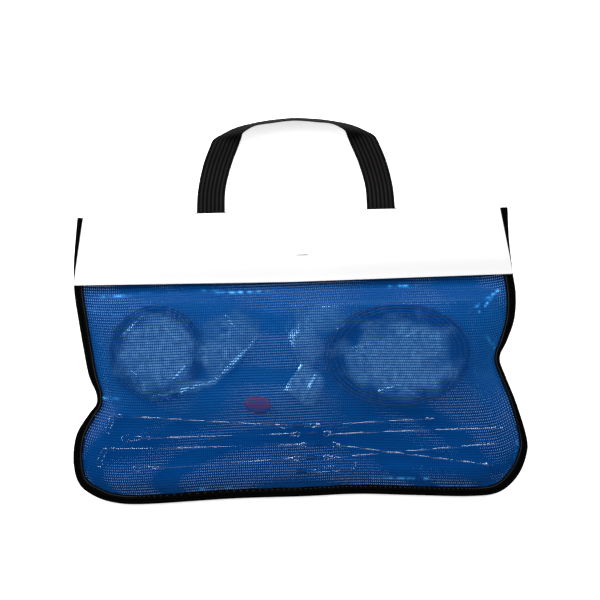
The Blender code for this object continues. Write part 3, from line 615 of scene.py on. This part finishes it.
EDGE_FLAT = 9.5 * MM                    # under the binding the cloth keeps the solid's height
LOOSE_RUN = 6 * MM                      # over which it comes free of that height
CARD_EDGE_Y = 72 * MM
CONTENTS_GAP = 0.9 * MM                 # from the contents to the cloth's upper face
BOOM_DIP = 2.4 * MM                     # the cloth settles on the wires between hem and coils
DIP_BELOW = (30 * MM, 60 * MM)          # the dip deepens over this reach below the middle
DIP_INSIDE = (20 * MM, 34 * MM)         # and over this reach in from the edge
CARD_SHARE = 0.74                       # of the panel's height, where the card starts
CONTENTS = ("boom_", "swivel_", "snap_", "long_snap", "red_float", "left_line", "right_cord",
            "left_poly", "right_poly")


def contents_tops(spots):
    """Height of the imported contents' tops at each spot, and zero where there are none."""
    trees = []
    for name, item in frame["nodes"].items():
        if name.startswith(CONTENTS):
            trees.append(BVHTree.FromPolygons([item.matrix_world @ v.co for v in item.data.vertices],
                                              [p.vertices[:] for p in item.data.polygons]))
    tops = np.zeros(len(spots))
    for i, (x, y) in enumerate(spots):
        for tree in trees:
            hit = tree.ray_cast(Vector((x, y, PROBE_HEIGHT)), DOWN)[0]
            if hit:
                tops[i] = max(tops[i], hit.z)
    return tops


def cloth_form(node, from_above, wrinkle):
    """Heights of a panel on an even grid of shares, from its solid and with its wrinkles. The
    upper one is also dipped, creased and held clear of the contents."""
    us, vs = np.meshgrid(np.linspace(0, 1, FORM_COLUMNS), np.linspace(0, 1, FORM_ROWS))
    spots = panel_xy(us.ravel(), vs.ravel())
    form = soften(solid_heights(node, spots, from_above).reshape(FORM_ROWS, FORM_COLUMNS), 4)
    x, y = spots[:, 0].reshape(form.shape), spots[:, 1].reshape(form.shape)
    slow = np.array([noise.noise(Vector((a * 22, b * 26, wrinkle * 9)))
                     + 0.5 * noise.noise(Vector((a * 60, b * 66, 3.0))) for a, b in spots])
    slow = slow.reshape(form.shape)
    sides = np.minimum(us, 1 - us) * 20
    hem_and_card = np.minimum(vs * 14, (CARD_SHARE - vs) * 12)
    room = np.clip(np.minimum(sides, hem_and_card), 0, 1)
    if not from_above:
        return form + wrinkle * room * slow
    inset = np.array([np.min(np.hypot(OUTLINE[:, 0] - a, OUTLINE[:, 1] - b)) for a, b in spots])
    inset = np.minimum(inset.reshape(form.shape), CARD_EDGE_Y - y)
    loose = ramp(inset, EDGE_FLAT, EDGE_FLAT + LOOSE_RUN)
    form += (soften(form.copy(), 34) - form) * loose
    form -= BOOM_DIP * ramp(-y, *DIP_BELOW) * ramp(inset, *DIP_INSIDE)
    form += wrinkle * room * slow
    for start, end, width, rise in UPPER_CREASES:
        form += room * crease(x, y, start, end, width, rise)
    floor = contents_tops(spots).reshape(form.shape) + CONTENTS_GAP
    form = np.maximum(form, np.where(floor > CONTENTS_GAP, floor, 0))
    return form + (soften(form.copy(), 2) - form) * loose


def read_form(form, u, v):
    """The form's height at shares u and v, between its points."""
    a, b = np.clip(u, 0, 1) * (FORM_COLUMNS - 1), np.clip(v, 0, 1) * (FORM_ROWS - 1)
    i, j = np.minimum(a.astype(int), FORM_COLUMNS - 2), np.minimum(b.astype(int), FORM_ROWS - 2)
    s, t = a - i, b - j
    low = form[j, i] * (1 - s) + form[j, i + 1] * s
    high = form[j + 1, i] * (1 - s) + form[j + 1, i + 1] * s
    return low * (1 - t) + high * t


# ---------------------------------------------------------------- mesh panels

CLOTH_SIZE = (0.400, 0.256)
MESH_COLUMNS, MESH_ROWS = (214, 104) if FINE else (107, 52)
YARN_SINK = 0.4 * MM                    # from the solid's face to the yarns' edges
RIDGE = 0.08 * MM
LOWER_PAINTED_LIGHT = 0.25                       # painted light: how pale the lower panel's yarns are painted
PAINTED_LIGHT_UNDER_WIRES = 0.3                       # painted shade: of that painted light, the share kept under the wires
ABOVE_WIRES = (-70 * MM, -20 * MM)      # where it grows to the whole


def weave_panel(name, node, from_above, yarn_half, squeeze, wrinkle, skew, tilt):
    """A grid whose cells are inset and opened, so that its yarns stay, ridged along their
    middles; then it is laid on its solid. Squeeze flattens the openings, and skew and tilt
    draw the rows and columns a little out of true."""
    panel = flat_grid(name, MESH_COLUMNS, MESH_ROWS, CLOTH_SIZE)
    crossings = (MESH_COLUMNS + 1) * (MESH_ROWS + 1)
    bpy.ops.object.mode_set(mode="EDIT")
    bpy.ops.mesh.select_mode(type="FACE")
    bpy.ops.mesh.select_all(action="SELECT")
    bpy.ops.mesh.inset(use_individual=True, thickness=yarn_half)
    bpy.ops.mesh.delete(type="FACE")
    if not from_above:
        bpy.ops.mesh.select_all(action="SELECT")
        bpy.ops.mesh.flip_normals()
    bpy.ops.object.mode_set(mode="OBJECT")
    form = cloth_form(node, from_above, wrinkle)
    outward = 1 if from_above else -1

    def lie(u, v):
        row = (np.floor(v[crossings:] * MESH_ROWS) + 0.5) / MESH_ROWS
        v[crossings:] = row + (v[crossings:] - row) * squeeze
        u, v = (u + skew * (v - 0.5) * np.sin(np.pi * u),
                v + tilt * (u - 0.5) * np.sin(np.pi * v))
        height = read_form(form, u, v) - outward * YARN_SINK
        height[:crossings] += outward * RIDGE
        return np.column_stack([panel_xy(u, v), height])
    shape(panel, CLOTH_SIZE, lie)
    places = vertex_places(panel)
    if from_above:
        # painted highlights on the upper panel's yarns
        pale = painted_highlights(places[:, :2])
    else:
        # painted light on the lower panel's yarns, with less of it under the wires towards the bottom as
        # painted shade
        above_wires = ramp(places[:, 1], *ABOVE_WIRES)
        pale = LOWER_PAINTED_LIGHT * (PAINTED_LIGHT_UNDER_WIRES + (1 - PAINTED_LIGHT_UNDER_WIRES) * above_wires)
    paint_by_vertex(panel, "painted_light", pale)
    finish_piece(panel, YARN)
    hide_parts(node)


# ---------------------------------------------------------------- binding and its stitches

BINDING_LOW = 0.37 * MM
BINDING_HIGH = 4.40 * MM
BINDING_LENGTH = 1.1
BINDING_SIZE = (1.0, 0.02)
TAPE_THICK = 0.62 * MM
# Across the fold: inset, as a share of the width, and height, as a share of the stack
FOLD_INSETS = [1.0, 0.8, 0.55, 0.3, 0.13, 0.045, 0.03, 0.045, 0.13, 0.3, 0.55, 0.8, 1.0]
FOLD_LEVELS = [0.10, 0.03, 0.0, 0.0, 0.03, 0.25, 0.5, 0.75, 0.97, 1.0, 1.0, 0.97, 0.90]
RIPPLE_OUT = 0.18 * MM
RIPPLE_UP = 0.10 * MM
STITCH_SIZE = (2.1 * MM, 0.5 * MM, 0.34 * MM)
STITCH_INSET = 1.6 * MM                 # from the tape's inner edge
STITCH_RISE = 0.30 * MM
CARD_LIFT = 0.8 * MM
LIFT_START = 60 * MM
LIFT_RUN = 13 * MM


def lift(y):
    """The card's lower flap lies under the bag and lifts its top."""
    return CARD_LIFT * np.clip((y - LIFT_START) / LIFT_RUN, 0, 1)


def outline_at(share):
    """Places and tape widths, and the inward headings, at shares of the outline's points."""
    where = share * (len(OUTLINE) - 1)
    keys = np.arange(len(OUTLINE))
    return ([np.interp(where, keys, OUTLINE[:, k]) for k in range(3)],
            [np.interp(where, keys, INWARD[:, k]) for k in range(2)])


def fold_binding():
    """Tape folded over the panels' edges, rippled a little along its length."""
    columns, rows = 620, len(FOLD_INSETS) - 1
    tape = flat_grid("edge_tape", columns, rows, BINDING_SIZE)

    def fold(u, v):
        (x, y, width), (turn_x, turn_y) = outline_at(u)
        inset = np.interp(v * rows, np.arange(rows + 1), FOLD_INSETS)
        level = np.interp(v * rows, np.arange(rows + 1), FOLD_LEVELS)
        metres = u * BINDING_LENGTH
        reach = width * inset + RIPPLE_OUT * np.sin(metres * 420 + 2 * np.sin(metres * 61)) * inset
        height = BINDING_LOW + (BINDING_HIGH - BINDING_LOW) * level
        height = height + RIPPLE_UP * np.sin(metres * 510 + 1.0) * inset * np.sign(level - 0.5)
        return np.column_stack([x + turn_x * reach, y + turn_y * reach, height + lift(y)])
    shape(tape, BINDING_SIZE, fold)
    solidify(tape, TAPE_THICK)
    finish_piece(tape, TAPE)
    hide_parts("edge_binding")


def sew_stitches(name, spots):
    """One rounded stitch, modelled once and copied to each spot and heading."""
    bpy.ops.object.select_all(action="DESELECT")
    bpy.ops.mesh.primitive_uv_sphere_add(segments=6, ring_count=4, radius=0.5)
    stitch = bpy.context.object
    stitch.scale = STITCH_SIZE
    settle(stitch)
    copies = []
    for place, heading in spots:
        copy = stitch.copy()
        copy.data = stitch.data.copy()
        bpy.context.scene.collection.objects.link(copy)
        copy.location = place
        copy.rotation_euler = (0, 0, heading)
        copies.append(copy)
    bpy.data.objects.remove(stitch)
    bpy.ops.object.select_all(action="DESELECT")
    for copy in copies:
        copy.select_set(True)
    bpy.context.view_layer.objects.active = copies[0]
    bpy.ops.object.join()
    seam = bpy.context.object
    seam.name = seam.data.name = name
    settle(seam)
    finish_piece(seam, THREAD)


def sew_binding():
    """A seam along the tape's inner edge, on both faces."""
    count = 380 if FINE else 95
    (x, y, width), (turn_x, turn_y) = outline_at((np.arange(count) + 0.5) / count)
    for name, level in (("upper_edge_stitches", BINDING_HIGH + STITCH_RISE),
                        ("lower_edge_stitches", BINDING_LOW - STITCH_RISE)):
        spots = []
        for i in range(count):
            inset = width[i] - STITCH_INSET
            heading = math.atan2(-turn_x[i], turn_y[i])
            spots.append(((x[i] + turn_x[i] * inset, y[i] + turn_y[i] * inset,
                           level + lift(y[i])), heading))
        sew_stitches(name, spots)


# ---------------------------------------------------------------- header card

CARD_SIZE = (0.38, 0.13)
CARD_THICK = 0.5 * MM
CARD_TOP = 7.20 * MM
CARD_FOLD_Y = 134.5 * MM
FOLD_REACH = 1.5 * MM                   # how far the fold swells out
FLAP_END, FRONT_START = 0.42, 0.56      # shares of the card's height: lower flap, fold, front
CARD_ENDS = np.array([72, 70.5, 73]) * MM
CARD_LOWER_END = 76 * MM
# Both side edges: x at the fold, and how much further out they end
CARD_LEFT, LEFT_FLARE = -191.5 * MM, 10.3 * MM
CARD_RIGHT, RIGHT_FLARE = 182.6 * MM, 10.5 * MM
CARD_RISE = 0.25 * MM
CARD_DROOP = 0.9 * MM                   # of the front's lower edge
STAPLE = (4.4 * MM, 94.9 * MM)
STAPLE_PINCH = 22 * MM                  # how far round the staple the card lies flat
SLOT_SIZE = (30 * MM, 6 * MM, 2.2 * MM)
TAB_X = (-76.8 * MM, 75.9 * MM)
TAB_Z = 5.95 * MM


def fold_card():
    """A card folded over the mouth, bowed and drooping a little, with slots for the handle."""
    card = flat_grid("folded_header_card", 96, 60, CARD_SIZE)
    fold_y = CARD_FOLD_Y - FOLD_REACH

    def bend(u, v):
        low, high = 0.5 * CARD_THICK, CARD_TOP
        upper_end = np.interp(u, [0, 0.5, 1], CARD_ENDS)
        back = np.clip(1 - v / FLAP_END, 0, 1)
        front = np.clip((v - FRONT_START) / (1 - FRONT_START), 0, 1)
        turned = (np.clip(v, FLAP_END, FRONT_START) - FLAP_END) / (FRONT_START - FLAP_END)
        turn = np.pi * turned - np.pi / 2
        y = np.where(v < FLAP_END, fold_y + (CARD_LOWER_END - fold_y) * back,
                     np.where(v > FRONT_START, fold_y + (upper_end - fold_y) * front,
                              fold_y + FOLD_REACH * np.cos(turn)))
        z = (low + high) / 2 + (high - low) / 2 * np.sin(turn)
        flare = np.maximum(back, front)
        left = CARD_LEFT - LEFT_FLARE * flare
        right = CARD_RIGHT + RIGHT_FLARE * flare
        x = left + (right - left) * u
        bow = 0.35 * MM * np.sin(2.2 * np.pi * u + 0.6) + 0.25 * MM * np.sin(5.3 * np.pi * u)
        free = 1 - np.exp(-np.hypot(x - STAPLE[0], y - STAPLE[1]) ** 2 / STAPLE_PINCH ** 2)
        bulge = (CARD_RISE + np.abs(bow) * np.sin(np.pi * front * 0.6)) * free
        bulge = bulge - CARD_DROOP * ramp(front, 0.72, 1.0)
        return np.column_stack([x, y, z + np.where(v > FRONT_START, bulge, 0)])
    shape(card, CARD_SIZE, bend)
    solidify(card, CARD_THICK)
    for x in TAB_X:
        bpy.ops.object.select_all(action="DESELECT")
        bpy.ops.mesh.primitive_cube_add(size=1, location=(x, CARD_FOLD_Y, TAB_Z))
        cutter = bpy.context.object
        cutter.scale = SLOT_SIZE
        settle(cutter)
        slot = card.modifiers.new("handle_slot", "BOOLEAN")
        slot.object = cutter
        apply_modifiers(card)
        bpy.data.objects.remove(cutter)
    finish_piece(card, CARD)
    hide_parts("header_card")


# ---------------------------------------------------------------- webbing handle

STRAP_SIZE = (0.4, 25.4 * MM)
STRAP_THICK = 1.1 * MM
RIB_SWELL = 0.17 * MM
ROWS_A_RIB = 5
ARCH_STEPS = 10
HINGE_Y = 136.4 * MM
ARCH_MIDDLE = -0.45                     # mm
# The strap's outer and inner edges from the left tab to the arch's middle, where it stands on
# its outer edge: x, y from the hinge and z from the tab, mm
ARCH_EDGES = [
    (-89.5, -46.3, 0.0, -64.1, -46.3, 0.0), (-89.5, -23, 0.0, -64.1, -23, 0.0),
    (-89.5, -4.0, 0.0, -64.1, -4.0, 0.0), (-89.4, 0.8, 0.0, -64.1, 0.8, 0.0),
    (-88.0, 18.5, -1.8, -63.0, 19.0, -1.8), (-83.0, 40.5, -3.0, -57.7, 39.0, -2.6),
    (-76.6, 57.0, -3.5, -51.6, 54.5, -1.5), (-73.0, 63.5, -4.0, -48.2, 63.0, 1.5),
    (-66.5, 67.4, -4.6, -46.4, 67.3, 10.9), (-60.5, 70.4, -5.0, -44.0, 69.8, 14.3),
    (-55.0, 72.9, -5.1, -40.8, 71.7, 15.9), (-47.5, 75.2, -5.2, -36.5, 73.8, 17.6),
    (-38.0, 77.2, -5.2, -30.5, 75.2, 19.0), (-26.0, 79.2, -5.2, -21.0, 76.2, 19.5),
    (-13.0, 80.5, -5.2, -10.5, 77.4, 19.9), (-0.45, 81.2, -5.2, -0.45, 78.0, 20.0),
]


def arch_webbing():
    """One webbing from tab to tab, ribbed on both faces, that bends where it leaves the card."""
    other = [(2 * ARCH_MIDDLE - a, b, c, 2 * ARCH_MIDDLE - d, e, f)
             for a, b, c, d, e, f in ARCH_EDGES[:-1]]
    line = np.array(smooth_run(ARCH_EDGES + other[::-1], ARCH_STEPS)) * MM
    hinge = np.array([0, HINGE_Y, TAB_Z])
    outer, inner = line[:, :3] + hinge, line[:, 3:] + hinge
    facing = np.cross(inner - outer, np.gradient((outer + inner) / 2, axis=0))
    facing /= np.linalg.norm(facing, axis=1)[:, None]
    rows = RIB_COUNT * ROWS_A_RIB
    strap = flat_grid("handle_webbing", len(line) - 1, rows, STRAP_SIZE)

    def between(index, v):
        return outer[index] * (1 - v[:, None]) + inner[index] * v[:, None]

    def arch(u, v):
        return between(np.clip(np.rint(u * (len(line) - 1)).astype(int), 0, len(line) - 1), v)
    shape(strap, STRAP_SIZE, arch)
    solidify(strap, STRAP_THICK, even=False)
    # both faces, each a whole grid of vertices, swell into ribs
    count = len(line) * (rows + 1)
    spots = vertex_places(strap)
    steps = np.arange(count)
    v, index = (steps // len(line)) / rows, steps % len(line)
    swell = RIB_SWELL * np.sqrt(np.abs(np.sin(np.pi * v * RIB_COUNT)))
    for face in (slice(0, count), slice(count, 2 * count)):
        outward = np.sign(np.sum((spots[face] - between(index, v)) * facing[index], axis=1))
        spots[face] += facing[index] * (outward * swell)[:, None]
    move_vertices(strap, spots)
    finish_piece(strap, WEBBING, body=None)
    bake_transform(strap)
    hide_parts("handle_strap", "handle_tab_left", "handle_tab_right")


# ---------------------------------------------------------------- coils

def lay_cord(name, route, thickness, material, nodes):
    """A round cord along its route, in place of the nodes that stand for it."""
    curve = bpy.data.curves.new(name, "CURVE")
    curve.dimensions = "3D"
    curve.bevel_depth = thickness / 2
    curve.bevel_resolution = 2
    curve.use_fill_caps = True
    run = curve.splines.new("POLY")
    run.points.add(len(route) - 1)
    for spot, point in zip(run.points, route):
        spot.co = (*point, 1)
    cord = bpy.data.objects.new(name, curve)
    bpy.context.scene.collection.objects.link(cord)
    curve.materials.append(material)
    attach(cord, "bag")
    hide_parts(*nodes)


# ---------------------------------------------------------------- clear bags

FILM_SIZE = (0.15, 0.10)
CRUMPLE = 1.1 * MM
CRUMPLE_DROP = 0.5 * MM
# Edges of the bags in mm: left from below, top from the left, right from below and bottom
# from the left. The loose corners are folded in.
LEFT_BAG = (
    [(-166, -41), (-181, 59)], [(-181, 59), (-104, 58), (-33, 55)],
    [(-77, -21.5), (-56, -2), (-34, 21), (-33, 55)],
    [(-166, -41), (-148, -36), (-131, -34), (-104, -28), (-77, -21.5)],
)
RIGHT_BAG = (
    [(3.5, -40.6), (-16, -26.6), (0, -4.5), (-13, 24.6), (-13, 51.5)], [(-13, 51.5), (159.5, 52)],
    [(159.5, -49), (159.5, 52)], [(3.5, -40.6), (40, -44), (159.5, -49)],
)
# Folds of each film: from, to, width and rise, mm
LEFT_FOLDS = [
    ((-131, -31), (-77, -19), 1.5, 2.6), ((-77, -19), (-131, -31), 1.5, 2.6),
    ((-77, -19), (-36, 21), 1.6, 3.0), ((-36, 21), (-77, -19), 1.6, 3.0),
    ((-159, 24), (-141, 41), 1.3, 2.2), ((-141, 41), (-159, 24), 1.3, 1.6),
    ((-112, -14), (-84, 16), 2.0, 1.4), ((-150, -8), (-136, -26), 1.4, 1.6),
    ((-66, 40), (-46, 12), 2.2, 1.4), ((-120, 30), (-96, 4), 2.0, 0.9),
]
RIGHT_FOLDS = [
    ((-13, 24), (1, -5), 1.5, 2.2), ((1, -5), (-14, -26), 1.5, 1.6),
    ((-14, -26), (4, -39), 1.4, 2.4), ((3, -36), (14, -14), 1.6, 2.0),
    ((14, -14), (3, -36), 1.6, 1.6), ((44, 8), (96, 18), 1.6, 1.3),
    ((96, 18), (120, 30), 1.6, 1.3), ((70, -30), (104, -22), 1.6, 1.6),
    ((104, -36), (82, -20), 1.3, 1.4), ((34, 26), (52, 36), 1.4, 1.6),
    ((120, -28), (136, -4), 1.5, 1.4), ((112, 34), (128, 24), 1.4, 1.4),
]
# Cloudy patches: middle and half sizes in mm, and strength
LEFT_CLOUDS = [((-128, 10), (30, 31), 1.0), ((-68, 8), (24, 22), 0.75), ((-92, -22), (26, 6), 0.6),
               ((-58, 28), (18, 15), 0.5)]
RIGHT_CLOUDS = [((88, 2), (44, 30), 0.8), ((96, -14), (38, 14), 0.9), ((2, -22), (16, 18), 1.0),
                ((6, 20), (12, 22), 0.5), ((22, 36), (18, 11), 0.4)]


def by_share(points, shares):
    """Points of a run of corners at shares of its length, in metres."""
    run = np.array(points, dtype=float) * MM
    steps = np.concatenate([[0], np.cumsum(np.linalg.norm(np.diff(run, axis=0), axis=1))])
    return np.stack([np.interp(shares, steps / steps[-1], run[:, k]) for k in (0, 1)], axis=1)


def film_xy(edges, u, v):
    """A patch between a clear bag's four edges."""
    left, top, right, low = edges
    s, t = u[:, None], v[:, None]
    sides = by_share(left, v) * (1 - s) + by_share(right, v) * s
    ends = by_share(low, u) * (1 - t) + by_share(top, u) * t
    corners = np.array([low[0], low[-1], top[0], top[-1]]) * MM
    return sides + ends - ((corners[0] * (1 - s) + corners[1] * s) * (1 - t)
                           + (corners[2] * (1 - s) + corners[3] * s) * t)


def cloud_over(spots, clouds):
    """How cloudy the film is at each spot, from soft patches broken up by noise."""
    total = np.zeros(len(spots))
    ragged = np.array([0.5 * noise.noise(Vector((x * 70, y * 70, 2.0))) for x, y in spots])
    for middle, half, strength in clouds:
        reach = np.hypot(*((spots - np.array(middle) * MM) / (np.array(half) * MM)).T)
        total = np.maximum(total, strength * np.clip((1.3 - reach + ragged) / 0.55, 0, 1))
    broken = np.array([0.80 + 0.40 * noise.noise(Vector((x * 45, y * 60, 5.0)))
                       + 0.7 * noise.noise(Vector((x * 230, y * 190, 8.0))) for x, y in spots])
    return np.clip(total * broken, 0, 1)


def film_bag(name, node, edges, folds, clouds, seed):
    """Two films from one folded sheet: each is laid on its solid, and the front one is creased and
    crumpled.
    """
    columns, rows = (150, 100) if FINE else (75, 50)
    halves = []
    for from_above in (True, False):
        side = "_front" if from_above else "_back"
        film = flat_grid(name + side, columns, rows, FILM_SIZE)

        def lie(u, v):
            spots = film_xy(edges, u, v)
            height = solid_heights(node, spots, from_above)
            form = soften(height.reshape(rows + 1, columns + 1), 6).ravel()
            if not from_above:
                return np.column_stack([spots, form])
            crumple = np.array([0.5 - abs(noise.noise(Vector((x * 34, y * 41, seed))))
                                + 0.5 * (0.5 - abs(noise.noise(Vector((x * 95, y * 80, seed + 4)))))
                                for x, y in spots])
            room = np.clip(np.minimum(np.minimum(u, 1 - u), np.minimum(v, 1 - v)) * 18, 0, 1)
            form = form + room * (CRUMPLE * crumple - CRUMPLE_DROP)
            for start, end, width, rise in folds:
                form = form + crease(spots[:, 0], spots[:, 1], start, end, width, rise)
            return np.column_stack([spots, form])
        shape(film, FILM_SIZE, lie)
        halves.append(film)
    select_only(halves[0])
    halves[1].select_set(True)
    bpy.ops.object.join()
    bag = bpy.context.object
    bag.name = bag.data.name = name
    paint_by_vertex(bag, "cloudiness", cloud_over(vertex_places(bag)[:, :2], clouds))
    finish_piece(bag, FILM)
    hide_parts(node)


# ---------------------------------------------------------------- wires and fittings

MERGE_WITHIN = 0.002 * MM
# The nodes' first words, their finish and slot
HARDWARE = (
    ("boom_", WIRE, "bright_steel"), ("snap_", WIRE, "bright_steel"),
    ("long_snap", WIRE, "bright_steel"), ("card_staple", WIRE, "bright_steel"),
    ("swivel_", SWIVEL_BLACK, "blackened_brass"), ("red_float", FLOAT_RED, "red_float"),
)


def round_off(node, material, body):
    """A copy of a packed fitting with its facets smoothed into a round, in the node's place."""
    source = frame["nodes"][node]
    copy = source.copy()
    copy.data = source.data.copy()
    copy.name = copy.data.name = node + "_rounded"
    bpy.context.scene.collection.objects.link(copy)
    copy.parent = None
    copy.matrix_world = source.matrix_world
    settle(copy)
    bpy.ops.mesh.customdata_custom_splitnormals_clear()
    bpy.ops.object.mode_set(mode="EDIT")
    bpy.ops.mesh.select_all(action="SELECT")
    bpy.ops.mesh.remove_doubles(threshold=MERGE_WITHIN)
    bpy.ops.mesh.tris_convert_to_quads()
    bpy.ops.object.mode_set(mode="OBJECT")
    rounding = copy.modifiers.new("rounding", "SUBSURF")
    rounding.levels = rounding.render_levels = 1
    apply_modifiers(copy)
    finish_piece(copy, material, body)
    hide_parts(node)


def round_off_hardware():
    """Every wire, swivel, snap and small fitting, on the body that carries it."""
    bodies = frame["record"]["behaviour"]["bodies"]
    body_of = {node: body for body, nodes in bodies.items() for node in nodes}
    for start, material, slot in HARDWARE:
        for node in sorted(name for name in frame["nodes"] if name.startswith(start)):
            round_off(node, material, body_of[node])


# ---------------------------------------------------------------- put together

weave_panel("upper_mesh", "upper_mesh_panel", from_above=True, yarn_half=0.36 * MM,
            squeeze=0.90, wrinkle=0.7 * MM, skew=0.004, tilt=0.0)
weave_panel("lower_mesh", "lower_mesh_panel", from_above=False, yarn_half=0.83 * MM,
            squeeze=0.76, wrinkle=0.0, skew=-0.02, tilt=0.03)
fold_binding()
sew_binding()
fold_card()
arch_webbing()
lay_cord("left_coiled_line", LEFT_ROUTE, LINE_THICK, LINE, ["left_line_coil"])
lay_cord("right_coiled_cord", right_cord_route(), CORD_THICK, CORD,
         ["right_cord_coil", "right_cord_tail"])
film_bag("left_clear_bag", "left_polybag", LEFT_BAG, LEFT_FOLDS, LEFT_CLOUDS, 2.0)
film_bag("right_clear_bag", "right_polybag", RIGHT_BAG, RIGHT_FOLDS, RIGHT_CLOUDS, 7.0)
round_off_hardware()
for node in ("upper_mouth_tape", "lower_mouth_tape"):
    for held in frame["nodes"][node].material_slots:
        held.material = TAPE
